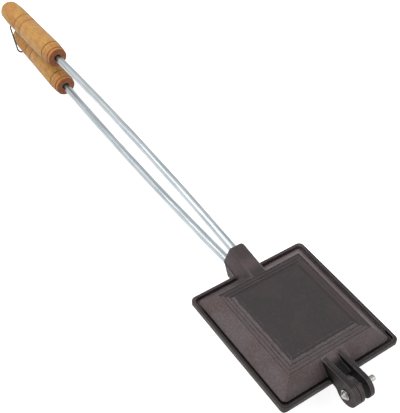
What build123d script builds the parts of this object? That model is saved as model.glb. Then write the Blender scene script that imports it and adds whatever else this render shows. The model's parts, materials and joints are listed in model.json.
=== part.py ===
from build123d import *
import os
from math import asin, cos, degrees, radians, sin, sqrt

# A pie iron: two dished cast-iron pans hinged at their front edge, each with a steel rod and a
# turned wooden handle, and a wire bail on the lower handle that latches the pair shut.
# X runs from the handles to the hinge, Y across the pans, Z up. The origin is the centre of the
# lower pan's flat underside. Sizes are in millimetres.

# Castings, both halves
base_length = 94.0  # flat face inside the sloping sides, along X
base_width = 85.0
side_round = 1.5  # where two sloping sides meet
panel_rise = 3.0  # the raised panel above the edge of that face
panel_inset = 11.1
step_insets = (0.2, 3.4, 6.5)  # steps of the moulding round the panel
step_depth = 0.8
step_floor = 0.5  # flat bottom of each step, before the slope up to the next
mouth_length = 110.0  # cooking hollow at the parting face
mouth_width = 101.0
hollow_corner = 5.0
hollow_depth = 14.6
hollow_taper = 17.0  # how far each side of the hollow slopes in on its way to the floor
lip_chamfer = 0.4

# Lower pan, with the lip that the upper pan drops into
lip_length = 129.0
lip_width = 120.0
lip_corner = 5.0
lip_inner_corner = 4.2
lip_wall = 2.65
lip_height = 4.1
lower_depth = 18.1  # flat underside to the parting ledge
notch_round = 1.8

# Upper pan
pan_clearance = 2.6  # round the upper rim, inside the lip
rim_shift = -0.6  # the rim sits a little behind the middle of the lip
parting_gap = 0.3
upper_depth = 17.8  # parting face to the flat top
rim_height = 1.9
rim_corner = 4.0

# Rod sockets at the rear
socket_rise = 10.85  # socket axis from the parting face
socket_overhang = 22.5  # mouth of the socket behind the lip, at the parting face
socket_lean = 14.0  # degrees that the mouth leans forward
socket_foot = 9.5  # half width of the mouth at the parting face
socket_crown = 8.0  # half width at the top of the mouth
socket_height = 20.1  # along the leaning mouth
shoulder_round = 4.5
flare_foot = 13.0  # half widths where the socket meets the flat face
flare_crown = 7.2
ridge_round = 2.0
socket_round = 3.0
notch_gap = 0.9
bore_depth = 25.0
bore_clearance = 0.05

# Hinge at the front
pin_radius = 2.5
pin_clearance = 0.06
pin_overhang = 15.3  # pin axis in front of the lip
pin_height = 5.3  # pin axis above the parting ledge
knuckle_radius = 11.4
neck_round = 4.0
lug_neck_round = 2.0
left_fin = (-11.2, -6.2)
right_fin = (3.9, 7.9)
lug = (-5.5, -1.9)
pad_right = 12.5
pad_rise = 5.9  # pad above the sloping side, at its bend
pad_bend = 10.6  # bend of the pad in front of the flat face's edge
pad_overhang = 2.3  # front of the pad beyond the lip
fin_root_drop = 1.2
lug_root_inset = 12.5  # foot of the lug behind the lip's front
lug_root_height = 8.3
notch_side_gap = 1.0
washer_radius = 4.4
washer_thickness = 1.0
running_gap = 0.1
head_radius = 3.2
head_band = 1.0
head_dome = 1.7
head_flat = 1.5
pin_tail = 9.6  # pin beyond the right fin
pin_chamfer = 0.5
split_radius = 0.8
split_station = 2.6  # split pin beyond the right fin
split_eye_radius = 1.7
split_reach = 5.0
split_clearance = 0.08
split_leg_radius = 0.4
split_leg_turn = 25.0

# Rods and their tangs
rod_radius = 4.0
upper_reach = 330.1  # socket mouth to handle face, along X
lower_reach = 323.4
upper_climb = 7.05  # handle face above the socket axis
lower_drop = 6.65
upper_sway = -2.1
lower_sway = 0.4
tang_radius = 2.6
tang_lead = 7.0  # bare tang in front of the handle
tang_clearance = 0.05

# Handles
handle_length = 122.0
upper_yaw = 1.5  # turn of the rear end towards -Y
upper_pitch = -0.2  # rise to the rear
lower_yaw = -0.8
lower_pitch = 1.0
face_radius = 10.9
nose_radius = 11.5
barrel_radius = 12.5
nose_station = 4.0
shoulder_station = 15.0
heel_inset = 19.0  # from the handle's rear end
end_inset = 5.0
end_radius = 11.5
cap_inset = 1.5
cap_shoulder = 9.8
cap_radius = 6.2
latch_inset = 15.0
mouth_radius = 3.6
mouth_depth = 12.0
end_washer_radius = 5.0
end_washer_thickness = 1.0
rivet_radius = 3.6
rivet_height = 1.4

# Latch bail
wire_radius = 1.0
wire_clearance = 0.05
pivot_inset = 23.4  # from the lower handle's rear end
pivot_drop = 9.6  # below the lower handle's axis
bail_half_width = 14.2
bail_foot_inset = 3.0
bail_top_round = 2.5
bail_foot_round = 5.0
latch_gap = 0.3  # crossbar below the upper handle

# Heights of the parting faces and of the flat faces' edges
lower_parting = lower_depth
upper_parting = lower_parting + parting_gap
lower_land = panel_rise
upper_land = upper_parting + upper_depth - panel_rise

# Places that both castings share
lip_front = lip_length / 2
rim_length = lip_length - 2 * (lip_wall + pan_clearance)
rim_width = lip_width - 2 * (lip_wall + pan_clearance)
mouth_x = -lip_front - socket_overhang
base_front = base_length / 2
pin_x = lip_front + pin_overhang
pin_z = lower_parting + pin_height


def slab(heights, lengths, widths, shift=0):
    # Block with four flat sides that slope from one height to another: the profile seen from
    # the side crossed with the profile seen from the front
    foot, top = heights
    with BuildPart() as block:
        with BuildSketch(Plane.XZ):
            Polygon(
                (shift - lengths[0] / 2, foot),
                (shift + lengths[0] / 2, foot),
                (lengths[1] / 2, top),
                (-lengths[1] / 2, top),
                align=None,
            )
        extrude(amount=max(widths), both=True)
        with BuildSketch(Plane.YZ):
            Polygon(
                (-widths[0] / 2, foot),
                (widths[0] / 2, foot),
                (widths[1] / 2, top),
                (-widths[1] / 2, top),
                align=None,
            )
        extrude(amount=max(lengths), both=True, mode=Mode.INTERSECT)
    return block.part


def rounded_slab(heights, lengths, widths, corner, shift=0):
    # The same block, rounded where two of its sides meet
    with BuildPart() as block:
        add(slab(heights, lengths, widths, shift))
        fillet(block.edges().group_by(Axis.Z)[1], corner)
    return block.part


def add_panel(land, outward):
    # Raised panel in a stepped moulding: each step drops, then slopes up to the next
    floor = land - outward * step_depth
    slope_ends = [(inset, land) for inset in step_insets[1:]]
    slope_ends.append((panel_inset, land + outward * panel_rise))
    for inset, (end_inset, end_height) in zip(step_insets, slope_ends):
        outer = [(base_length - 2 * inset,) * 2, (base_width - 2 * inset,) * 2]
        add(slab((land, floor), *outer), mode=Mode.SUBTRACT)
        insets = (inset + step_floor, end_inset)
        lengths = [base_length - 2 * each for each in insets]
        widths = [base_width - 2 * each for each in insets]
        add(slab((floor, end_height), lengths, widths))


def cut_hollow(parting, outward):
    # Cooking hollow, narrowing from the parting face to its floor
    heights = (parting, parting + outward * hollow_depth)
    lengths = (mouth_length, mouth_length - 2 * hollow_taper)
    widths = (mouth_width, mouth_width - 2 * hollow_taper)
    add(rounded_slab(heights, lengths, widths, hollow_corner), mode=Mode.SUBTRACT)


def arch(plane, half_foot, half_crown, height, corner):
    # Drafted arch standing on a parting face
    with BuildSketch(plane) as outline:
        Polygon((-half_foot, 0), (-half_crown, height), (half_crown, height), (half_foot, 0), align=None)
        fillet(outline.vertices().group_by(Axis.Y)[-1], corner)
    return outline.sketch


def socket(parting, land, outward):
    # Boss for the rod, from its leaning, rounded mouth down to the flat face
    across = (0, outward, 0)
    lean = radians(socket_lean)
    mouth = Plane((mouth_x, 0, parting), across, (cos(lean), 0, -outward * sin(lean)))
    front = Plane((-base_front, 0, parting), across, (1, 0, 0))
    with BuildPart() as boss:
        loft(
            [
                arch(mouth, socket_foot, socket_crown, socket_height, shoulder_round),
                arch(front, flare_foot, flare_crown, abs(land - parting), ridge_round),
            ],
            ruled=True,
        )
        rear = boss.faces().sort_by(Axis.X)[0]
        fillet(rear.edges().filter_by(lambda edge: abs(edge.center().Z - parting) > 0.01), socket_round)
    return boss.part


def bore_socket(bend):
    # Blind hole that continues the line of the rod where it meets the socket
    heading = bend % 1
    with BuildSketch(Plane(origin=bend @ 1 + heading * bore_depth, z_dir=-heading)) as bore:
        Circle(rod_radius + bore_clearance)
    extrude(bore.sketch, amount=bore_depth + socket_round, mode=Mode.SUBTRACT)


def knuckle(root, neck_height, outward, corner, span):
    # Hinge knuckle: a disc round the pin with a web that runs back tangent from it to its root
    centre = (pin_x, pin_z)
    reach = Vector(*centre) - Vector(*root)
    lean = outward * degrees(asin(knuckle_radius / reach.length))
    edge_length = sqrt(reach.length**2 - knuckle_radius**2)
    touch = Vector(*root) + reach.rotate(Axis.Z, lean).normalized() * edge_length
    neck_x = pin_x - sqrt(knuckle_radius**2 - (pin_z - neck_height) ** 2)
    with BuildSketch(Plane.XZ.offset(-span[0])) as outline:
        Polygon(
            root, (touch.X, touch.Y), centre, (neck_x, neck_height), (root[0], neck_height), align=None
        )
        with Locations(centre):
            Circle(knuckle_radius)
        throat = outline.vertices().sort_by_distance((neck_x, neck_height))[0]
        fillet(throat, corner)
        with Locations(centre):
            Circle(pin_radius + pin_clearance, mode=Mode.SUBTRACT)
    extrude(outline.sketch, amount=span[0] - span[1])


# Handles' own planes: origin on the front face, local X to the rear, local Y up
def handle_plane(reach, sway, height, yaw, pitch):
    face = (mouth_x - reach, sway, height)
    return Plane(origin=face, x_dir=(-1, 0, 0), z_dir=(0, 1, 0)).rotated((0, pitch, yaw))


upper_axis = upper_parting + socket_rise
lower_axis = lower_parting - socket_rise
upper_grip = handle_plane(upper_reach, upper_sway, upper_axis + upper_climb, upper_yaw, upper_pitch)
lower_grip = handle_plane(lower_reach, lower_sway, lower_axis - lower_drop, lower_yaw, lower_pitch)


def rod_bend(grip, socket_axis):
    # One gentle bend from the end of the tang to the socket's mouth
    start = grip.origin - grip.x_dir * tang_lead
    with BuildLine() as line:
        TangentArc(start, (mouth_x, 0, socket_axis), tangent=-grip.x_dir)
    return line.line.edge()


upper_bend = rod_bend(upper_grip, upper_axis)
lower_bend = rod_bend(lower_grip, lower_axis)

# Lower pan
lower_socket = socket(lower_parting, lower_land, -1)
with BuildPart() as lower_plate:
    lower_sides = ((lip_length, base_length), (lip_width, base_width))
    add(rounded_slab((lower_parting, lower_land), *lower_sides, side_round))
    with BuildSketch(Plane.XY.offset(lower_land)):
        RectangleRounded(lip_length, lip_width, lip_corner)
    extrude(amount=lower_parting - lower_land, mode=Mode.INTERSECT)
    with BuildSketch(Plane.XY.offset(lower_parting)):
        RectangleRounded(lip_length, lip_width, lip_corner)
        RectangleRounded(
            lip_length - 2 * lip_wall, lip_width - 2 * lip_wall, lip_inner_corner, mode=Mode.SUBTRACT
        )
    extrude(amount=lip_height)
    # The lip stops either side of the upper socket and of the hinge
    flare_share = (socket_overhang + lip_wall) / (-base_front - mouth_x)
    socket_notch = socket_foot + (flare_foot - socket_foot) * flare_share + notch_gap
    hinge_notch = (left_fin[0] - notch_side_gap, pad_right + notch_side_gap)
    with BuildSketch(Plane.YZ.offset(-lip_front)):
        with Locations((0, lower_parting)):
            Rectangle(2 * socket_notch, lip_height, align=(Align.CENTER, Align.MIN))
    extrude(amount=lip_wall, mode=Mode.SUBTRACT)
    with BuildSketch(Plane.YZ.offset(lip_front)):
        with Locations((hinge_notch[0], lower_parting)):
            Rectangle(hinge_notch[1] - hinge_notch[0], lip_height, align=Align.MIN)
    extrude(amount=-lip_wall, mode=Mode.SUBTRACT)
    lip_ends = lower_plate.edges().filter_by(Axis.Z).filter_by(
        lambda edge: abs(edge.center().X) < lip_front and abs(edge.center().Y) < pad_right + lip_wall
    )
    fillet(lip_ends, notch_round)
    chamfer(lower_plate.edges().group_by(Axis.Z)[-1], lip_chamfer)
    add_panel(lower_land, -1)
    add(lower_socket)
    lug_root = (lip_front - lug_root_inset, lug_root_height)
    knuckle(lug_root, lower_parting, -1, lug_neck_round, lug)
    cut_hollow(lower_parting, -1)
    bore_socket(lower_bend)

# Upper pan
upper_socket = socket(upper_parting, upper_land, 1)
rim_top = upper_parting + rim_height
with BuildSketch(Plane((rim_shift, 0, upper_parting))) as rim:
    RectangleRounded(rim_length, rim_width, rim_corner)
with BuildPart() as upper_plate:
    upper_sides = ((rim_length, base_length), (rim_width, base_width))
    add(rounded_slab((rim_top, upper_land), *upper_sides, side_round, rim_shift))
    extrude(rim.sketch, amount=upper_depth, mode=Mode.INTERSECT)
    extrude(rim.sketch, amount=rim_height)
    add_panel(upper_land, 1)
    add(upper_socket)
    # Raised pad that carries the two hinge fins down the sloping side and over the lip
    rim_front = rim_length / 2 + rim_shift
    bend_x = base_front + pad_bend
    side_fall = (upper_land - rim_top) / (rim_front - base_front)
    bend_z = upper_land - pad_bend * side_fall + pad_rise
    pad_front = lip_front + pad_overhang
    with BuildSketch(Plane.XZ.offset(-left_fin[0])):
        with BuildLine():
            Polyline(
                (base_front, upper_land),
                (bend_x, bend_z),
                (pad_front, bend_z),
                (pad_front, upper_parting),
                (bend_x, upper_parting),
                close=True,
            )
        make_face()
    extrude(amount=left_fin[0] - pad_right)
    fin_root = (base_front, upper_land - fin_root_drop)
    for fin in (left_fin, right_fin):
        knuckle(fin_root, upper_parting, 1, neck_round, fin)
    cut_hollow(upper_parting, 1)
    bore_socket(upper_bend)

# Hinge pin, with its domed head on the left
head_seat = left_fin[0] - running_gap - washer_thickness
split_y = right_fin[1] + split_station
with BuildPart() as hinge_pin:
    with BuildSketch(Plane.XY.offset(pin_z)):
        with BuildLine():
            pin_end = right_fin[1] + pin_tail
            head_top = head_seat - head_band - head_dome
            Polyline(
                (pin_x, head_top),
                (pin_x, pin_end),
                (pin_x + pin_radius - pin_chamfer, pin_end),
                (pin_x + pin_radius, pin_end - pin_chamfer),
                (pin_x + pin_radius, head_seat),
                (pin_x + head_radius, head_seat),
                (pin_x + head_radius, head_seat - head_band),
            )
            Polyline(
                (pin_x + head_radius, head_seat - head_band), (pin_x + head_flat, head_top), (pin_x, head_top)
            )
        make_face()
    revolve(axis=Axis((pin_x, 0, pin_z), (0, 1, 0)))
    with BuildSketch(Plane.YZ.offset(pin_x)):
        with Locations((split_y, pin_z)):
            Circle(split_radius + split_clearance)
    extrude(amount=pin_radius, both=True, mode=Mode.SUBTRACT)

with BuildPart() as hinge_washer:
    with BuildSketch(Plane.XZ.offset(-head_seat)):
        with Locations((pin_x, pin_z)):
            Circle(washer_radius)
            Circle(pin_radius + pin_clearance, mode=Mode.SUBTRACT)
    extrude(amount=-washer_thickness)

# Split pin through the hinge pin: eye behind, legs splayed in front
with BuildPart() as hinge_split_pin:
    eye_x = pin_x - pin_radius - split_eye_radius - split_radius
    leg_x = pin_x + pin_radius
    with BuildSketch(Plane.YZ.offset(eye_x + split_eye_radius)):
        with Locations((split_y, pin_z)):
            Circle(split_radius)
    extrude(amount=leg_x - eye_x - split_eye_radius)
    with BuildSketch(Plane.XZ.offset(-split_y)):
        with Locations((eye_x, pin_z)):
            Circle(split_eye_radius + split_leg_radius)
            Circle(split_eye_radius - split_leg_radius, mode=Mode.SUBTRACT)
    extrude(amount=split_radius, both=True)
    for turn in (-split_leg_turn, split_leg_turn):
        leg_start = (leg_x - split_radius, split_y, pin_z)
        leg_plane = Plane(origin=leg_start, z_dir=(1, 0, 0)).rotated((0, turn, 0))
        with BuildSketch(leg_plane):
            Circle(split_leg_radius)
        extrude(amount=split_reach)


def rod(bend, grip):
    # Bent rod, straight inside its socket, stepped down to a tang riveted over behind the handle
    with BuildPart() as body:
        with BuildLine() as path:
            add(bend)
            Line(bend @ 1, bend @ 1 + (bend % 1) * (bore_depth - parting_gap))
        with BuildSketch(Plane(origin=bend @ 0, z_dir=bend % 0)) as section:
            Circle(rod_radius)
        sweep(section.sketch, path=path.wires()[0])
        shank_end = handle_length + end_washer_thickness
        with BuildSketch(grip) as profile:
            with BuildLine():
                Polyline(
                    (shank_end + rivet_height, 0),
                    (-tang_lead, 0),
                    (-tang_lead, tang_radius),
                    (shank_end, tang_radius),
                    (shank_end, rivet_radius),
                )
                RadiusArc(
                    (shank_end, rivet_radius),
                    (shank_end + rivet_height, 0),
                    (rivet_radius**2 + rivet_height**2) / (2 * rivet_height),
                )
            make_face()
        revolve(profile.sketch, axis=Axis(grip.origin, grip.x_dir))
    return body.part


def handle(grip):
    # Turned grip, bored through for the tang, wider at its mouth
    rear = handle_length
    with BuildPart() as body:
        with BuildSketch(grip) as profile:
            with BuildLine():
                Polyline(
                    (rear, tang_radius + tang_clearance),
                    (mouth_depth, tang_radius + tang_clearance),
                    (mouth_depth, mouth_radius),
                    (0, mouth_radius),
                    (0, face_radius),
                    (nose_station, face_radius),
                    (nose_station, nose_radius),
                    (shoulder_station, barrel_radius),
                    (rear - heel_inset, barrel_radius),
                    (rear - end_inset, end_radius),
                    (rear - cap_inset, cap_shoulder),
                    (rear, cap_radius),
                    close=True,
                )
            make_face()
        revolve(profile.sketch, axis=Axis(grip.origin, grip.x_dir))
    return body.part


def end_washer(grip):
    with BuildPart() as body:
        with BuildSketch(Plane(origin=grip.origin + grip.x_dir * handle_length, z_dir=grip.x_dir)):
            Circle(end_washer_radius)
            Circle(tang_radius + tang_clearance, mode=Mode.SUBTRACT)
        extrude(amount=end_washer_thickness)
    return body.part


# The bail turns in a cross hole low in the lower handle
pivot = lower_grip.from_local_coords((handle_length - pivot_inset, -pivot_drop, 0))
with BuildPart() as lower_handle:
    add(handle(lower_grip))
    with BuildSketch(Plane.XZ.offset(-pivot.Y)):
        with Locations((pivot.X, pivot.Z)):
            Circle(wire_radius + wire_clearance)
    extrude(amount=bail_half_width, both=True, mode=Mode.SUBTRACT)

# Latch bail: a square-topped wire loop whose crossbar lies under the upper handle's tail
taper_share = (heel_inset - latch_inset) / (heel_inset - end_inset)
latch_radius = barrel_radius + (end_radius - barrel_radius) * taper_share
latch_seat = upper_grip.from_local_coords((handle_length - latch_inset, 0, 0))
crossbar = Vector(latch_seat.X, pivot.Y, latch_seat.Z - latch_radius - latch_gap - wire_radius)
bail_height = (crossbar - pivot).length
bail_plane = Plane(
    origin=pivot, x_dir=(0, 1, 0), z_dir=Vector(0, 1, 0).cross(crossbar - pivot)
)
with BuildPart() as latch_bail:
    with BuildLine(bail_plane) as wire:
        FilletPolyline(
            (bail_foot_inset, 0),
            (bail_half_width, 0),
            (bail_half_width, bail_height),
            (-bail_half_width, bail_height),
            (-bail_half_width, 0),
            (-bail_foot_inset, 0),
            radius=(bail_foot_round, bail_top_round, bail_top_round, bail_foot_round),
        )
    with BuildSketch(Plane(origin=wire.line @ 0, z_dir=wire.line % 0)):
        Circle(wire_radius)
    sweep(path=wire.line)

pieces = {
    "lower_plate": lower_plate.part,
    "upper_plate": upper_plate.part,
    "hinge_pin": hinge_pin.part,
    "hinge_washer": hinge_washer.part,
    "hinge_split_pin": hinge_split_pin.part,
    "lower_rod": rod(lower_bend, lower_grip),
    "upper_rod": rod(upper_bend, upper_grip),
    "lower_handle": lower_handle.part,
    "upper_handle": handle(upper_grip),
    "lower_handle_washer": end_washer(lower_grip),
    "upper_handle_washer": end_washer(upper_grip),
    "latch_bail": latch_bail.part,
}
os.makedirs("parts", exist_ok=True)
for name, piece in pieces.items():
    piece.label = name
    export_step(piece, f"parts/{name}.step")
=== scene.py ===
import json
from math import cos, radians, sin
from types import SimpleNamespace

import bmesh
import bpy
from mathutils import Matrix, Vector


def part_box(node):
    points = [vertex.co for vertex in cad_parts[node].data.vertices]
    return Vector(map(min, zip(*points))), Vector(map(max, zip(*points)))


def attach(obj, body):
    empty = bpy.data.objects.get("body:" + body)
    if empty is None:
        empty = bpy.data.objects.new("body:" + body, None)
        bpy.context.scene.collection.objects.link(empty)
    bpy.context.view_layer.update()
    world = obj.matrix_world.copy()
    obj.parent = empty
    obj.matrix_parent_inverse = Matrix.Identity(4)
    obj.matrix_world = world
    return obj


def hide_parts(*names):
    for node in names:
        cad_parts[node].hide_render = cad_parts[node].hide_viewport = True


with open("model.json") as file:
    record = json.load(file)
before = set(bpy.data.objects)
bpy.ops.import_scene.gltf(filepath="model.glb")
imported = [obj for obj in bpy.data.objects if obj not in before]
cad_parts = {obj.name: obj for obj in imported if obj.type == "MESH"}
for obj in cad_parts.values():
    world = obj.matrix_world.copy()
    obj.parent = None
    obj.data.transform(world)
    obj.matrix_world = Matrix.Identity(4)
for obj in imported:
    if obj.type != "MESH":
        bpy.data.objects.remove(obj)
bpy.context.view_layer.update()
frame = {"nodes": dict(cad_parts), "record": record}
print("frame loaded:", len(frame["nodes"]), "nodes")

mm = 0.001  # metres

# Camera: a three-quarter view from the hinge side, above and to the right
cameraView = {
    "azimuth": 55.35,  # degrees, 0 looks along +Y
    "elevation": 45.47,
    "roll": 1.0,
    "place": (0.2982, -0.3015, 0.5769),  # metres
    "lens": 72.25,  # millimetres
}


def makeCamera(view):
    azimuth, elevation, roll = (radians(view[name]) for name in ("azimuth", "elevation", "roll"))
    back = Vector((sin(azimuth) * cos(elevation), -cos(azimuth) * cos(elevation), sin(elevation)))
    right = Vector((cos(azimuth), sin(azimuth), 0))
    up = back.cross(right)
    turnedRight = right * cos(roll) + up * sin(roll)
    turnedUp = up * cos(roll) - right * sin(roll)
    lens = bpy.data.cameras.new("camera")
    lens.lens = view["lens"]
    camera = bpy.data.objects.new("camera", lens)
    bpy.context.scene.collection.objects.link(camera)
    turn = Matrix((turnedRight, turnedUp, back)).transposed().to_4x4()
    camera.matrix_world = Matrix.Translation(view["place"]) @ turn
    bpy.context.scene.camera = camera


makeCamera(cameraView)
print("camera placed")


def colour(code):
    # sRGB hex to linear
    channels = [int(code[i : i + 2], 16) / 255 for i in (1, 3, 5)]
    linear = [c / 12.92 if c <= 0.04045 else ((c + 0.055) / 1.055) ** 2.4 for c in channels]
    return (*linear, 1)


def addNode(tree, kind, inputs=(), **settings):
    # a node with its settings. Inputs come in the node's own order, or by name or number, and
    # each one is a value, an output or another node, which gives its first live output.
    node = tree.nodes.new("ShaderNode" + kind)
    for name, value in settings.items():
        setattr(node, name, value)
    for name, value in inputs.items() if isinstance(inputs, dict) else enumerate(inputs):
        if isinstance(value, bpy.types.Node):
            value = next(output for output in value.outputs if output.enabled)
        if isinstance(value, bpy.types.NodeSocket):
            tree.links.new(value, node.inputs[name])
        else:
            node.inputs[name].default_value = value
    return node


# settings that many nodes share
times = {"operation": "MULTIPLY"}
minus = {"operation": "SUBTRACT"}
most = {"operation": "MAXIMUM"}
least = {"operation": "MINIMUM"}
unsigned = {"operation": "ABSOLUTE"}
smooth = {"interpolation_type": "SMOOTHSTEP"}
blend = {"data_type": "RGBA"}  # its inputs 0, 6 and 7 are the share, the first and the second colour


def startMaterial(name):
    material = bpy.data.materials.new(name)
    material.use_nodes = True
    material.node_tree.nodes.clear()
    return material, material.node_tree


def grainScale(length, width):
    # pattern scale for a grain that lies along X
    return (1 / length, 1 / width, 1 / width)


# Castings. Four numbers in brackets are a fade: the two places or values that it runs between, and
# its share at each.
castIron = {
    "panel": "#373334",  # flat faces, painted darker than the slopes as painted shade
    "litSlope": "#605658",  # sloping sides, painted lighter and warmer than the flat faces as painted light
    "brown": "#594a49",  # brown bloom
    "pit": "#352f30",  # low grains
    "worn": "#857c7b",  # rubbed edges and high grains
    "shadeAndSoot": "#080707",  # painted shade in corners, creases and between the fins, and the dark joint line
    "specular": 0.2,
    "roughness": (0.3, 0.7, 0.52, 0.62),  # over the slow patches
    "grit": 1.7 * mm,  # the mould's sand, about three times the real grain so that it shows
    "dimple": 5.0 * mm,
    "patch": 30.0 * mm,
    "sloping": (0.995, 0.93, 0.0, 1.0),  # over how level the face is
    "socketLitSlope": (-50.0 * mm, -60.0 * mm, 0.0, 0.45),  # along X; the socket takes this share of the slopes' painted lighter colour and of the bloom
    "bloom": (0.42, 0.66, 0.0, 1.0),
    "bloomShare": (0.0, 1.0, 0.15, 0.8),  # from the flat faces to the slopes, as are the next two
    "gritShare": (0.0, 1.0, 0.06, 0.3),
    "gritStrength": (0.0, 1.0, 0.1, 0.5),
    "lowGrit": (0.5, 0.28, 0.0, 1.0),
    "highGrit": (0.5, 0.72, 0.0, 1.0),
    "gritDepth": 0.3 * mm,
    "dimpleDepth": 0.6 * mm,
    "dimpleStrength": 0.2,
    "edgeRadius": 1.2 * mm,
    "edge": (0.99, 0.88, 0.0, 0.6),  # over how far the rounded edge turns from its face
    "finEdge": (0.96, 0.8, 0.0, 0.45),
    "rubbed": (0.3, 0.62, 0.0, 1.0),  # over the dimples, so that edges are rubbed in places
}

# The moulding round the raised panel, with distances in from its outside
moulding = {
    "outside": (47.0 * mm, 42.5 * mm),  # half sizes
    "steps": (0.45 * mm, 3.65 * mm, 6.75 * mm),  # middle of each step
    "stepHalfWidth": 0.5 * mm,
    "stepShade": 0.75,
    "crest": 8.9 * mm,  # rubbed edge of the panel
    "crestHalfWidth": 0.45 * mm,
    "crestShare": 0.6,
    "lastSlope": (7.8 * mm, 9.2 * mm, 0.0, 0.9),  # levelled up to the panel and given the flat faces' darker colour
    "within": (-0.4 * mm, -0.1 * mm, 0.0, 1.0),
    "riser": (1.3 * mm, 0.6 * mm, 0.0, 0.34),  # the levelled steps' risers are painted a little paler, as painted light
    "mitreBlur": 0.5 * mm,
    "middleBlur": 1.0 * mm,
    "darkRearSlope": (2.0 * mm, -12.0 * mm, 0.0, 0.9),  # the rear slope keeps the flat faces' darker colour here, along Y
    "levelShare": 0.93,  # how far the normals are turned level on the far and rear steps and the last slope
}


def jointHeight():
    # halfway between the two hollows
    low, high = (opening["box_m"] for opening in frame["record"]["physics"]["openings"])
    return (low[1][2] + high[0][2]) / 2


def castingPlaces(tree):
    # where a point of a casting lies, and on which side
    coordinates = addNode(tree, "TexCoord").outputs
    at = SimpleNamespace(where=coordinates["Object"])
    at.x, at.y, at.z = addNode(tree, "SeparateXYZ", [at.where]).outputs
    at.faceY, at.faceZ = addNode(tree, "SeparateXYZ", [coordinates["Normal"]]).outputs[1:]
    at.acrossX = addNode(tree, "Math", [at.x], **unsigned)
    at.acrossY = addNode(tree, "Math", [at.y], **unsigned)
    at.above = addNode(tree, "Math", [at.z, jointHeight()], **minus)
    outside = addNode(tree, "Math", [at.above, at.faceZ], **times)
    at.outside = addNode(tree, "Math", [outside, 0.0], operation="GREATER_THAN")
    return at


def levelAndShadeMoulding(tree, at, look):
    # the steps behind the panel and on its far side, up to the mitres, are levelled and keep the
    # flat faces' darker colour as painted shade; the last slope is levelled all round
    halfLength, halfWidth = look["outside"]
    insetX = addNode(tree, "Math", [halfLength, at.acrossX], **minus)
    insetY = addNode(tree, "Math", [halfWidth, at.acrossY], **minus)
    at.inset = addNode(tree, "Math", [insetX, insetY], **least)
    mitre = addNode(tree, "Math", [insetX, insetY], **minus)
    blur, middle = look["mitreBlur"], look["middleBlur"]
    endOn = addNode(tree, "MapRange", [mitre, blur, -blur, 0.0, 1.0], **smooth)
    rearHalf = addNode(tree, "MapRange", [at.x, middle, -middle, 0.0, 1.0], **smooth)
    behind = addNode(tree, "Math", [endOn, rearHalf], **times)
    sideOn = addNode(tree, "MapRange", [mitre, -blur, blur, 0.0, 1.0], **smooth)
    farHalf = addNode(tree, "MapRange", [at.y, -middle, middle, 0.0, 1.0], **smooth)
    beyond = addNode(tree, "Math", [sideOn, farHalf], **times)
    farAndRearSteps = addNode(tree, "Math", [behind, beyond], **most)
    within = addNode(tree, "MapRange", [at.inset, *look["within"]], **smooth)
    farAndRearSteps = addNode(tree, "Math", [farAndRearSteps, within], **times)
    at.bare = addNode(tree, "Math", [1.0, farAndRearSteps], **minus)
    lastSlope = addNode(tree, "MapRange", [at.inset, *look["lastSlope"]], **smooth)
    lastSlope = addNode(tree, "Math", [lastSlope, at.outside], **times)
    at.smoothed = addNode(tree, "Math", [farAndRearSteps, lastSlope], **most)
    notLast = addNode(tree, "Math", [1.0, lastSlope], **minus)
    at.rough = addNode(tree, "Math", [notLast, at.bare], **least)
    at.fromStep = []
    # painted light: the risers of the levelled steps are painted a little paler
    risers = 0.0
    for step in look["steps"]:
        away = addNode(tree, "Math", [at.inset, step], **minus)
        away = addNode(tree, "Math", [away], **unsigned)
        at.fromStep.append(away)
        riser = addNode(tree, "MapRange", [away, *look["riser"]], **smooth)
        risers = addNode(tree, "Math", [riser, risers], **most)
    at.risers = addNode(tree, "Math", [farAndRearSteps, risers], **times)
    oiled = addNode(tree, "MapRange", [at.y, *look["darkRearSlope"]], **smooth)
    oiled = addNode(tree, "Math", [oiled, behind], **times)
    at.unoiled = addNode(tree, "Math", [1.0, oiled], **minus)


def sandSkin(tree, at, look):
    # sand grain, dimples of the mould and slow patches, stronger on the slopes, which are painted lighter
    # than the flat faces as painted light
    at.grit = addNode(tree, "TexNoise", {"Vector": at.where, "Scale": 1 / look["grit"], "Detail": 3.0,
                                         "Roughness": 0.65})
    at.dimple = addNode(tree, "TexNoise", {"Vector": at.where, "Scale": 1 / look["dimple"], "Detail": 2.0})
    at.patch = addNode(tree, "TexNoise", {"Vector": at.where, "Scale": 1 / look["patch"], "Detail": 3.0,
                                          "Roughness": 0.55, "Distortion": 0.4})
    at.level = addNode(tree, "Math", [at.faceZ], **unsigned)
    slope = addNode(tree, "MapRange", [at.level, *look["sloping"]], **smooth)
    slope = addNode(tree, "Math", [slope, at.rough], **times)
    slope = addNode(tree, "Math", [slope, at.unoiled], **times)
    slope = addNode(tree, "Math", [slope, at.risers], **most)
    socket = addNode(tree, "MapRange", [at.x, *look["socketLitSlope"]], **smooth)
    at.slope = addNode(tree, "Math", [slope, socket], **most)
    # painted light and shade: sloping faces take the lighter colour, level faces the darker one
    body = addNode(tree, "Mix", {0: at.slope, 6: colour(look["panel"]), 7: colour(look["litSlope"])}, **blend)
    bloom = addNode(tree, "MapRange", [at.patch, *look["bloom"]], **smooth)
    share = addNode(tree, "MapRange", [at.slope, *look["bloomShare"]])
    bloom = addNode(tree, "Math", [bloom, share], **times)
    bloom = addNode(tree, "Math", [bloom, socket], **most)
    body = addNode(tree, "Mix", {0: bloom, 6: body, 7: colour(look["brown"])}, **blend)
    share = addNode(tree, "MapRange", [at.slope, *look["gritShare"]])
    for grains, tone in (("lowGrit", "pit"), ("highGrit", "worn")):
        grain = addNode(tree, "MapRange", [at.grit, *look[grains]], **smooth)
        grain = addNode(tree, "Math", [grain, share], **times)
        body = addNode(tree, "Mix", {0: grain, 6: body, 7: colour(look[tone])}, **blend)
    return body


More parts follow.
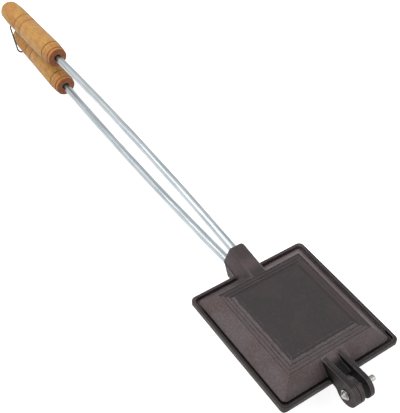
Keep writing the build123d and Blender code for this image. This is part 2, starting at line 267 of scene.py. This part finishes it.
def rubEdges(tree, at, look, panel, body):
    # a rounded normal marks the edges, which are rubbed in places, as is the panel's crest
    at.rounded = addNode(tree, "Bevel", [look["edgeRadius"]], samples=6)
    flat = addNode(tree, "NewGeometry").outputs["Normal"]
    at.turn = addNode(tree, "VectorMath", [at.rounded, flat], operation="DOT_PRODUCT")
    edge = addNode(tree, "MapRange", [at.turn, *look["edge"]], **smooth)
    rubbed = addNode(tree, "MapRange", [at.dimple, *look["rubbed"]], **smooth)
    edge = addNode(tree, "Math", [edge, rubbed], **times)
    edge = addNode(tree, "Math", [edge, at.bare], **times)
    body = addNode(tree, "Mix", {0: edge, 6: body, 7: colour(look["worn"])}, **blend)
    away = addNode(tree, "Math", [at.inset, panel["crest"]], **minus)
    away = addNode(tree, "Math", [away], **unsigned)
    wide, share = panel["crestHalfWidth"], panel["crestShare"]
    crest = addNode(tree, "MapRange", [away, wide, 0.0, 0.0, share], **smooth)
    for mask in (at.bare, at.outside, rubbed):
        crest = addNode(tree, "Math", [crest, mask], **times)
    return addNode(tree, "Mix", {0: crest, 6: body, 7: colour(look["worn"])}, **blend)


# Painted shade in corners and creases, thick between the fins, thin behind the pan and on its far
# side, and on the socket's flat top; a darker lip and a dark joint line. The fades are along X unless they
# say otherwise.
shadeAndSoot = {
    "reach": 12.0 * mm,  # how far from a wall the painted shade spreads
    "corner": (0.7, 0.25, 0.0, 0.95),  # over how open the place is
    "fainterFar": (40.0 * mm, 50.0 * mm, 1.0, 0.05),  # along Y
    "fainterRear": (-47.0 * mm, -55.0 * mm, 1.0, 0.05),
    "hinge": (50.0 * mm, 51.0 * mm, 0.0, 1.0),
    "cheek": (0.7, 0.95, 0.0, 1.0),  # over how far the face looks along Y
    "cheekShade": (1.0, 0.6, 0.55, 1.0),  # over how open the place is
    "knuckles": (50.0 * mm, 66.0 * mm, 0.0, 0.5),
    "betweenFins": (-6.2 * mm, 4.9 * mm),  # along Y
    "finBlur": 0.3 * mm,
    "gapShare": 0.95,
    "gapRear": (50.0 * mm, 58.0 * mm, 0.0, 1.0),
    "gapFront": (71.0 * mm, 68.0 * mm, 0.0, 1.0),
    "web": (-9.0 * mm, -9.4 * mm, 0.0, 0.8),  # the left fin's outer side, along Y
    "webLimit": (-12.5 * mm, -11.5 * mm, 0.0, 1.0),  # along Y
    "webRear": (53.5 * mm, 55.0 * mm, 0.0, 1.0),
    "webFront": (82.0 * mm, 73.0 * mm, 0.0, 1.0),
    "lipInside": (61.8 * mm, 57.3 * mm),  # half sizes of the lip's inner edge
    "lipBlur": 0.2 * mm,
    "lipEnd": (65.0 * mm, 64.6 * mm, 0.0, 0.3),
    "lipTop": (23.0 * mm, 22.5 * mm, 0.0, 1.0),  # along Z
    "crownShade": (-60.0 * mm, -70.0 * mm, 0.0, 0.36),  # painted shade on the flat top of the socket
    "joint": (2.1 * mm, 1.05 * mm, 0.0, 0.95),  # sooty line where the sockets meet, along Z
    "socket": (-64.5 * mm, -65.5 * mm, 0.0, 1.0),
}


def hingeShade(tree, at, look):
    # painted shade, thick on the fins' cheeks, thickest between them and on the left fin's web; the
    # knuckles are darker all over
    cheek = addNode(tree, "Math", [at.faceY], **unsigned)
    cheek = addNode(tree, "MapRange", [cheek, *look["cheek"]], **smooth)
    at.hinge = addNode(tree, "MapRange", [at.x, *look["hinge"]], **smooth)
    cheek = addNode(tree, "Math", [cheek, at.hinge], **times)
    thick = addNode(tree, "MapRange", [at.open, *look["cheekShade"]], **smooth)
    thick = addNode(tree, "Math", [thick, cheek], **times)
    knuckles = addNode(tree, "MapRange", [at.x, *look["knuckles"]], **smooth)
    thick = addNode(tree, "Math", [thick, knuckles], **most)

    finsLow, finsHigh = look["betweenFins"]
    halfGap = (finsHigh - finsLow) / 2
    inside = halfGap - look["finBlur"]
    away = addNode(tree, "Math", [at.y, (finsLow + finsHigh) / 2], **minus)
    away = addNode(tree, "Math", [away], **unsigned)
    gap = addNode(tree, "MapRange", [away, halfGap, inside, 0.0, look["gapShare"]], **smooth)
    web = addNode(tree, "MapRange", [at.y, *look["web"]], **smooth)
    webLimit = addNode(tree, "MapRange", [at.y, *look["webLimit"]], **smooth)
    web = addNode(tree, "Math", [web, webLimit], **times)
    for part, ends in ((gap, ("gapRear", "gapFront")), (web, ("webRear", "webFront"))):
        for end in ends:
            limit = addNode(tree, "MapRange", [at.x, *look[end]], **smooth)
            part = addNode(tree, "Math", [part, limit], **times)
        thick = addNode(tree, "Math", [thick, part], **most)
    return thick


def darkerLip(tree, at, look):
    # the lip is a little darker
    lip = 0.0
    for across, edge in zip((at.acrossX, at.acrossY), look["lipInside"]):
        blur = look["lipBlur"]
        side = addNode(tree, "MapRange", [across, edge - blur, edge + blur, 0.0, 1.0], **smooth)
        lip = addNode(tree, "Math", [side, lip], **most)
    for place, fade in ((at.acrossX, "lipEnd"), (at.z, "lipTop")):
        limit = addNode(tree, "MapRange", [place, *look[fade]], **smooth)
        lip = addNode(tree, "Math", [lip, limit], **times)
    return lip


def cornerShade(tree, at, look):
    # painted shade, thicker the less open a corner is, fainter on the far and rear sides and none on the
    # levelled far and rear steps
    closed = addNode(tree, "MapRange", [at.open, *look["corner"]], **smooth)
    fainterFar = addNode(tree, "MapRange", [at.y, *look["fainterFar"]], **smooth)
    fainterRear = addNode(tree, "MapRange", [at.x, *look["fainterRear"]], **smooth)
    fainter = addNode(tree, "Math", [fainterFar, fainterRear], **least)
    closed = addNode(tree, "Math", [closed, fainter], **times)
    return addNode(tree, "Math", [closed, at.bare], **times)


def shadeAndSootCasting(tree, at, look, panel):
    # how dark each place is: the darkest of the painted shade at the hinge, crown, steps and corners, the
    # darker lip and the joint line
    at.open = addNode(tree, "AmbientOcclusion", {"Distance": look["reach"]}, samples=8).outputs["AO"]
    crownShade = addNode(tree, "MapRange", [at.x, *look["crownShade"]], **smooth)
    crownShade = addNode(tree, "Math", [crownShade, at.level], **times)
    fromJoint = addNode(tree, "Math", [at.above], **unsigned)
    joint = addNode(tree, "MapRange", [fromJoint, *look["joint"]], **smooth)
    socket = addNode(tree, "MapRange", [at.x, *look["socket"]], **smooth)
    joint = addNode(tree, "Math", [joint, socket], **times)
    places = [hingeShade(tree, at, look), darkerLip(tree, at, look), crownShade, joint]
    moulded = addNode(tree, "Math", [at.outside, at.bare], **times)
    wide = panel["stepHalfWidth"]
    # painted shade in the creases of the near and front steps
    for away in at.fromStep:
        line = addNode(tree, "MapRange", [away, wide, wide / 2, 0.0, panel["stepShade"]], **smooth)
        places.append(addNode(tree, "Math", [line, moulded], **times))
    shadedAndSooty = cornerShade(tree, at, look)
    for place in places:
        shadedAndSooty = addNode(tree, "Math", [shadedAndSooty, place], **most)
    return shadedAndSooty


def makeCastIron(look):
    # Sand-cast grey iron, seasoned: a brownish charcoal satin with an even grit, smoother on the
    # flat faces, rubbed paler along its edges, with slopes painted lighter than its flat faces and painted
    # shade in its corners
    material, tree = startMaterial("seasoned cast iron")
    at = castingPlaces(tree)
    levelAndShadeMoulding(tree, at, moulding)
    body = sandSkin(tree, at, look)
    body = rubEdges(tree, at, look, moulding, body)
    shadedAndSooty = shadeAndSootCasting(tree, at, shadeAndSoot, moulding)
    body = addNode(tree, "Mix", {0: shadedAndSooty, 6: body, 7: colour(look["shadeAndSoot"])}, **blend)
    # the fins' edges stay rubbed through their painted shade
    finEdge = addNode(tree, "MapRange", [at.turn, *look["finEdge"]], **smooth)
    finEdge = addNode(tree, "Math", [finEdge, at.hinge], **times)
    body = addNode(tree, "Mix", {0: finEdge, 6: body, 7: colour(look["worn"])}, **blend)

    # bump: dimples everywhere, sand mostly on the slopes, and normals turned level on the far and rear
    # steps and the last slope
    upright = addNode(tree, "Math", [at.faceZ], operation="SIGN")
    upright = addNode(tree, "CombineXYZ", {"Z": upright})
    upright = addNode(tree, "VectorTransform", [upright], vector_type="VECTOR", convert_from="OBJECT",
                      convert_to="WORLD")
    levelShare = addNode(tree, "Math", [at.smoothed, moulding["levelShare"]], **times)
    normal = addNode(tree, "Mix", {0: levelShare, 4: at.rounded, 5: upright}, data_type="VECTOR")
    normal = addNode(tree, "VectorMath", [normal], operation="NORMALIZE")
    normal = addNode(tree, "Bump", {"Height": at.dimple, "Strength": look["dimpleStrength"],
                                    "Distance": look["dimpleDepth"], "Normal": normal})
    strength = addNode(tree, "MapRange", [at.slope, *look["gritStrength"]])
    normal = addNode(tree, "Bump", {"Height": at.grit, "Strength": strength, "Distance": look["gritDepth"],
                                    "Normal": normal})
    roughness = addNode(tree, "MapRange", [at.patch, *look["roughness"]], **smooth)
    shader = addNode(tree, "BsdfPrincipled", {"Base Color": body, "Roughness": roughness,
                                              "Specular IOR Level": look["specular"], "Normal": normal})
    addNode(tree, "OutputMaterial", {"Surface": shader})
    return material


# Rods
zincRod = {
    "bright": "#b3b9bc",
    "dull": "#a4abaf",
    "shade": "#80888d",
    "roughness": (0.3, 0.7, 0.34, 0.4),  # over the cloudy patches
    "spangle": 35.0 * mm,  # cloudy patches of the plating
    "cloud": (0.35, 0.65, 0.0, 1.0),
    # length and width of a drawing line, several times the real width so that it shows
    "line": (90.0 * mm, 0.4 * mm),
    "drawn": (0.3, 0.7, 0.4, 1.0),
    "scratchDepth": 0.05 * mm,
    "scratchStrength": 0.03,
    "streak": (45.0 * mm, 1.7 * mm),  # darker streaks along the rod, painted reflection of darker surroundings
    "reflectionBandShare": (0.42, 0.66, 0.0, 0.45),
}
zincFastener = {
    **zincRod,
    "bright": "#b5b4b0",
    "dull": "#8d8c88",
    "shade": "#6f6e6b",
    "roughness": (0.3, 0.7, 0.26, 0.4),
    "spangle": 3.0 * mm,
}
springWire = {
    **zincRod,
    "bright": "#7c7b7a",
    "dull": "#4b4947",
    "shade": "#45423f",
    "roughness": (0.3, 0.7, 0.35, 0.5),
    "spangle": 5.0 * mm,
}


def makeZinc(name, look):
    # Cold-drawn steel, zinc plated: a bluish white with a soft gleam, long fine lines and darker streaks
    # painted as reflection
    material, tree = startMaterial(name)
    where = addNode(tree, "TexCoord").outputs["Object"]
    along = addNode(tree, "Mapping", {"Vector": where, "Scale": grainScale(*look["line"])})
    line = addNode(tree, "TexNoise", {"Vector": along, "Scale": 1.0, "Detail": 2.0})
    patch = addNode(tree, "TexNoise", {"Vector": where, "Scale": 1 / look["spangle"], "Detail": 2.0})
    cloud = addNode(tree, "MapRange", [patch, *look["cloud"]], **smooth)
    drawn = addNode(tree, "MapRange", [line, *look["drawn"]], **smooth)
    cloud = addNode(tree, "Math", [cloud, drawn], **times)
    body = addNode(tree, "Mix", {0: cloud, 6: colour(look["bright"]), 7: colour(look["dull"])}, **blend)
    # painted reflection: darker streaks along the rod stand in for the darker bands it reflects
    streak = addNode(tree, "Mapping", {"Vector": where, "Scale": grainScale(*look["streak"])})
    streak = addNode(tree, "TexNoise", {"Vector": streak, "Scale": 1.0, "Detail": 1.0})
    streak = addNode(tree, "MapRange", [streak, *look["reflectionBandShare"]], **smooth)
    body = addNode(tree, "Mix", {0: streak, 6: body, 7: colour(look["shade"])}, **blend)
    scratched = addNode(tree, "Bump", {"Height": line, "Strength": look["scratchStrength"],
                                       "Distance": look["scratchDepth"]})
    roughness = addNode(tree, "MapRange", [patch, *look["roughness"]], **smooth)
    shader = addNode(tree, "BsdfPrincipled", {"Base Color": body, "Metallic": 1.0, "Roughness": roughness,
                                              "Normal": scratched})
    addNode(tree, "OutputMaterial", {"Surface": shader})
    return material


# Handles
turnedBeech = {
    "pale": "#c4964f",
    "deep": "#a97c3c",
    "warm": "#ba7339",  # orange bloom, strongest towards the front
    "pore": "#96662f",
    "end": "#ab6b3d",  # end grain drinks the lacquer and darkens
    "endDeep": "#804929",
    "scorch": "#8a5224",  # burnt rings
    "holeShade": "#33241c",  # painted shade round the tang's hole
    "specular": 0.35,
    "roughness": (0.3, 0.7, 0.5, 0.6),  # over the fibres
    "coat": 0.08,
    "coatRoughness": 0.35,
    "growth": 5.0 * mm,  # between growth rings
    "growthShare": 0.35,
    "drift": (44.0 * mm, 11.0 * mm),  # length and width of the growth rings' wander
    "driftTurns": 6.0,
    "fibre": (10.0 * mm, 0.6 * mm),  # length and width, wider than a real fibre so that it shows
    "fibreStrength": 0.12,
    "fibreDepth": 0.1 * mm,
    "streak": (0.42, 0.7, 0.0, 0.4),
    "pores": (0.62, 0.72, 0.0, 0.5),
    "cloud": (17.6 * mm, 11.0 * mm),  # length and width of a patch of bloom
    "cloudPlace": (3.1, 5.7, 1.3),  # so that clouds and flecks don't follow the drift
    "cloudShare": (0.42, 0.68, 0.0, 0.6),
    "collar": (16.0 * mm, 2.0 * mm, 0.0, 0.75),  # more bloom up to the front face
    "fleck": (6.5 * mm, 2.6 * mm),
    "fleckPlace": (1.7, 2.9, 8.3),
    "fleckShare": (0.48, 0.68, 0.0, 0.6),
    "endFace": (0.35, 0.8, 0.0, 1.0),  # over how far the face looks along the handle
    "endGrain": 2.2 * mm,  # coarser than the real pores so that it shows
    "endShare": (0.38, 0.62, 0.0, 0.9),
    "tang": (5.2 * mm, 3.4 * mm, 0.0, 1.0),  # painted shade round the tang, out from its middle
    # how far behind the front face, and how deep and dark, each burnt ring is
    "rings": (
        (4.6 * mm, 0.4),
        (9.2 * mm, 0.35),
        (14.7 * mm, 0.9),
        (68.5 * mm, 0.9),
        (81.2 * mm, 0.9),
    ),
    "ringHalfWidth": 0.9 * mm,
    "ringDepth": 0.45 * mm,
    "ringFade": 0.9 * mm,
    "ringShare": 0.8,
    "barrelInside": 8.0 * mm,  # only the outer surface is scored, beyond this radius
    "sharp": 24,  # degrees between faces that keep a hard edge
}


def handleAxis(node):
    # centre of the front face and the direction to the rear, from the corners at each end
    low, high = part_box(node)
    points = [vertex.co for vertex in frame["nodes"][node].data.vertices]
    ends = []
    for edge in (high[0], low[0]):
        near = [point for point in points if abs(point.x - edge) < 1 * mm]
        ends.append(sum(near, Vector()) / len(near))
    return ends[0], (ends[1] - ends[0]).normalized()


def makeWood(node, look):
    # Turned beech under clear lacquer: warm tan with long fibres, dark end grain and burnt rings
    material, tree = startMaterial("turned beech " + node.split("_")[0])
    front, axis = handleAxis(node)
    turn = axis.to_track_quat("X", "Z").to_euler()
    coordinates = addNode(tree, "TexCoord").outputs
    where = addNode(tree, "Mapping", {"Vector": coordinates["Object"], "Location": front, "Rotation": turn},
                    vector_type="TEXTURE").outputs["Vector"]
    station, side = addNode(tree, "SeparateXYZ", [where]).outputs[:2]

    # fibres and growth rings run along the handle
    along = addNode(tree, "Mapping", {"Vector": where, "Scale": grainScale(*look["fibre"])})
    fibre = addNode(tree, "TexNoise", {"Vector": along, "Scale": 1.0, "Detail": 3.0, "Roughness": 0.6})
    drift = addNode(tree, "Mapping", {"Vector": where, "Scale": grainScale(*look["drift"])})
    drift = addNode(tree, "TexNoise", {"Vector": drift, "Scale": 1.0, "Detail": 2.0})
    drift = addNode(tree, "Math", [drift, look["driftTurns"]], **times)
    growth = addNode(tree, "Math", [side, 1 / look["growth"]], **times)
    growth = addNode(tree, "Math", [growth, drift], operation="ADD")
    growth = addNode(tree, "Math", [growth, radians(360)], **times)
    growth = addNode(tree, "Math", [growth], operation="SINE")
    share = addNode(tree, "MapRange", [growth, -1.0, 1.0, 0.0, 1.0], **smooth)
    share = addNode(tree, "Math", [share, look["growthShare"]], **times)
    body = addNode(tree, "Mix", {0: share, 6: colour(look["pale"]), 7: colour(look["deep"])}, **blend)

    # cloudy bloom, more of it near the front face, then flecks, streaks and pores
    cloud = addNode(tree, "Mapping", {"Vector": where, "Scale": grainScale(*look["cloud"]),
                                      "Location": look["cloudPlace"]})
    cloud = addNode(tree, "TexNoise", {"Vector": cloud, "Scale": 1.0, "Detail": 3.0, "Roughness": 0.6,
                                       "Distortion": 0.6})
    cloud = addNode(tree, "MapRange", [cloud, *look["cloudShare"]], **smooth)
    collar = addNode(tree, "MapRange", [station, *look["collar"]], **smooth)
    bloom = addNode(tree, "Math", [cloud, collar], **most)
    body = addNode(tree, "Mix", {0: bloom, 6: body, 7: colour(look["warm"])}, **blend)
    fleck = addNode(tree, "Mapping", {"Vector": where, "Scale": grainScale(*look["fleck"]),
                                      "Location": look["fleckPlace"]})
    fleck = addNode(tree, "TexNoise", {"Vector": fleck, "Scale": 1.0, "Detail": 3.0, "Roughness": 0.65})
    fleck = addNode(tree, "MapRange", [fleck, *look["fleckShare"]], **smooth)
    body = addNode(tree, "Mix", {0: fleck, 6: body, 7: colour(look["pore"])}, **blend)
    for fade, tone in (("streak", "deep"), ("pores", "pore")):
        share = addNode(tree, "MapRange", [fibre, *look[fade]], **smooth)
        body = addNode(tree, "Mix", {0: share, 6: body, 7: colour(look[tone])}, **blend)

    # end grain, where the surface faces along the axis, and a ring of painted shade round the tang
    facing = addNode(tree, "VectorMath", [coordinates["Normal"], axis], operation="DOT_PRODUCT")
    facing = addNode(tree, "Math", [facing], **unsigned)
    endFace = addNode(tree, "MapRange", [facing, *look["endFace"]], **smooth)
    dots = addNode(tree, "TexNoise", {"Vector": where, "Scale": 1 / look["endGrain"], "Detail": 4.0,
                                      "Roughness": 0.7})
    dots = addNode(tree, "MapRange", [dots, *look["endShare"]], **smooth)
    end = addNode(tree, "Mix", {0: dots, 6: colour(look["end"]), 7: colour(look["endDeep"])}, **blend)
    body = addNode(tree, "Mix", {0: endFace, 6: body, 7: end}, **blend)
    radius = addNode(tree, "VectorMath", [where, (0, 1, 1)], **times)
    radius = addNode(tree, "VectorMath", [radius], operation="LENGTH")
    tang = addNode(tree, "MapRange", [radius, *look["tang"]], **smooth)
    body = addNode(tree, "Mix", {0: tang, 6: body, 7: colour(look["holeShade"])}, **blend)

    # burnt rings, brown at their sides
    burnt = 0.0
    wide = look["ringHalfWidth"]
    for place, strength in look["rings"]:
        away = addNode(tree, "Math", [station, place], **minus)
        away = addNode(tree, "Math", [away], **unsigned)
        ring = addNode(tree, "MapRange", [away, wide + look["ringFade"], wide / 4, 0.0, strength], **smooth)
        burnt = addNode(tree, "Math", [burnt, ring], **most)
    burnt = addNode(tree, "Math", [burnt, look["ringShare"]], **times)
    body = addNode(tree, "Mix", {0: burnt, 6: body, 7: colour(look["scorch"])}, **blend)
    grain = addNode(tree, "Bump", {"Height": fibre, "Strength": look["fibreStrength"],
                                   "Distance": look["fibreDepth"]})
    roughness = addNode(tree, "MapRange", [fibre, *look["roughness"]], **smooth)
    shader = addNode(tree, "BsdfPrincipled", {"Base Color": body, "Roughness": roughness, "Normal": grain,
                                              "Specular IOR Level": look["specular"],
                                              "Coat Weight": look["coat"],
                                              "Coat Roughness": look["coatRoughness"]})
    addNode(tree, "OutputMaterial", {"Surface": shader})
    return material


def scoreHandle(node, body, look):
    # a copy of the turned handle with its burnt rings cut into it as shallow grooves: three cuts
    # round each ring, the middle one drawn in
    front, axis = handleAxis(node)
    mesh = bmesh.new()
    mesh.from_mesh(frame["nodes"][node].data)
    wide = look["ringHalfWidth"]
    for station, strength in look["rings"]:
        for offset in (-wide, 0, wide):
            parts = mesh.verts[:] + mesh.edges[:] + mesh.faces[:]
            place = front + axis * (station + offset)
            bmesh.ops.bisect_plane(mesh, geom=parts, plane_co=place, plane_no=axis)
        for vertex in mesh.verts:
            along = (vertex.co - front).dot(axis)
            outward = vertex.co - front - axis * along
            if abs(along - station) < 0.01 * mm and outward.length > look["barrelInside"]:
                vertex.co -= outward.normalized() * look["ringDepth"] * strength
    data = bpy.data.meshes.new(node + "_scored")
    mesh.to_mesh(data)
    mesh.free()
    for face in data.polygons:
        face.use_smooth = True
    data.set_sharp_from_angle(angle=radians(look["sharp"]))
    handle = bpy.data.objects.new(node + "_scored", data)
    bpy.context.scene.collection.objects.link(handle)
    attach(handle, body)
    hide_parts(node)
    data.materials.clear()
    data.materials.append(makeWood(node, look))


iron = makeCastIron(castIron)
rods = makeZinc("zinc plated rod", zincRod)
fasteners = makeZinc("zinc plated pin and washers", zincFastener)
wire = makeZinc("dull spring wire", springWire)
finishes = {
    "lower_plate": iron,
    "upper_plate": iron,
    "lower_rod": rods,
    "upper_rod": rods,
    "hinge_pin": fasteners,
    "hinge_washer": fasteners,
    "hinge_split_pin": fasteners,
    "lower_handle_washer": fasteners,
    "upper_handle_washer": fasteners,
    "latch_bail": wire,
}
for node, material in finishes.items():
    for slot in frame["nodes"][node].material_slots:
        slot.material = material
for node, body in (("lower_handle", "lower_half"), ("upper_handle", "upper_half")):
    scoreHandle(node, body, turnedBeech)
print("castings, rods and handles finished")

# Studio: a white sweep, a soft lamp on the left and a fainter one behind on the right
studio = {
    "floorSize": 6.0,  # metres
    "floorDrop": 19.5 * mm,  # below the lower pan, clear of the latch as it swings under
    "paper": "#f0f0f0",
    "paperRoughness": 0.9,
    "bounce": "#7c7c7c",  # what the paper throws back at the iron's underside
    "floorGlow": 0.68,  # lifts the lit paper to white for the eye and for mirrors
    "sky": (0.25, 0.85, 0.42, 0.55),  # over the height of the direction, light on the object
    "lamps": {
        "key": {"place": (-0.45, -0.65, 1.15), "size": 1.2, "watts": 14.0},
        "rim": {"place": (0.9, 0.8, 0.6), "size": 0.8, "watts": 4.0},
    },
}


def seenDirectly(tree):
    # 1 for the eye and for what metal and glass show, 0 for light that falls on the object
    path = addNode(tree, "LightPath").outputs
    seen = addNode(tree, "Math", [path["Is Camera Ray"], path["Is Glossy Ray"]], **most)
    return addNode(tree, "Math", [seen, path["Is Transmission Ray"]], **most)


def makeFloor(look):
    # Matt paper: an even white that keeps the object's shadow
    bpy.ops.mesh.primitive_plane_add(size=look["floorSize"], location=(0, 0, -look["floorDrop"]))
    floor = bpy.context.object
    floor.name = "floor"
    paper, tree = startMaterial("white paper sweep")
    seen = seenDirectly(tree)
    shade = addNode(tree, "Mix", {0: seen, 6: colour(look["bounce"]), 7: colour(look["paper"])}, **blend)
    glow = addNode(tree, "Math", [seen, look["floorGlow"]], **times)
    shader = addNode(tree, "BsdfPrincipled", {"Base Color": shade, "Roughness": look["paperRoughness"],
                                              "Emission Color": (1, 1, 1, 1), "Emission Strength": glow})
    addNode(tree, "OutputMaterial", {"Surface": shader})
    floor.data.materials.append(paper)


def makeSky(look):
    # white to the eye, softer on the object and brighter overhead
    world = bpy.data.worlds.new("studio")
    bpy.context.scene.world = world
    world.use_nodes = True
    tree = world.node_tree
    tree.nodes.clear()
    rise = addNode(tree, "SeparateXYZ", [addNode(tree, "TexCoord").outputs["Generated"]]).outputs["Z"]
    glow = addNode(tree, "MapRange", [rise, *look["sky"]], **smooth)
    strength = addNode(tree, "Math", [seenDirectly(tree), glow], **most)
    sky = addNode(tree, "Background", {"Color": (1, 1, 1, 1), "Strength": strength})
    addNode(tree, "OutputWorld", {"Surface": sky})


def placeLamps(lamps):
    for name, lamp in lamps.items():
        light = bpy.data.lights.new(name, "AREA")
        light.energy = lamp["watts"]
        light.size = lamp["size"]
        holder = bpy.data.objects.new(name, light)
        bpy.context.scene.collection.objects.link(holder)
        holder.location = lamp["place"]
        holder.rotation_euler = (-Vector(lamp["place"])).to_track_quat("-Z", "Y").to_euler()


makeFloor(studio)
makeSky(studio)
placeLamps(studio["lamps"])
bpy.context.scene.view_settings.view_transform = "Standard"
print("studio lit")
